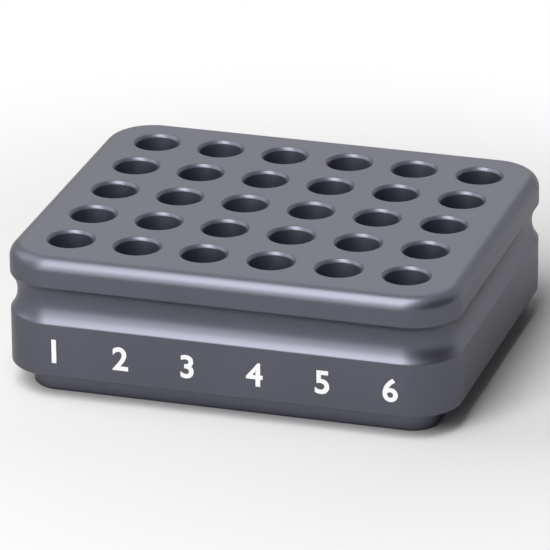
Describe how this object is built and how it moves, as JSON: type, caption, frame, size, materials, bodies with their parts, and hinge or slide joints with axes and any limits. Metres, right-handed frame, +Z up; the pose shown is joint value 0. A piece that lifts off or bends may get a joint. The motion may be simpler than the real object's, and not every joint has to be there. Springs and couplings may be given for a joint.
{
  "type": "cold block",
  "caption": "Solid metal cold block with a grid of round wells for microtubes, a hollow finger groove all round and a set-back plinth.",
  "frame": {"origin": "centre of the bottom face of the plinth, where the block rests", "axes": "+Z up out of the wells, +X along the longer rows of wells, -Y out of the front"},
  "size_m": [0.1208, 0.1028, 0.0389],
  "materials": {
    "anodised_metal": "bead-blasted, dark blue-grey anodised satin",
    "white_print": "thin white ink, matt"
  },
  "bodies": {
    "root": {"block": "anodised_metal"}
  },
  "joints": []
}
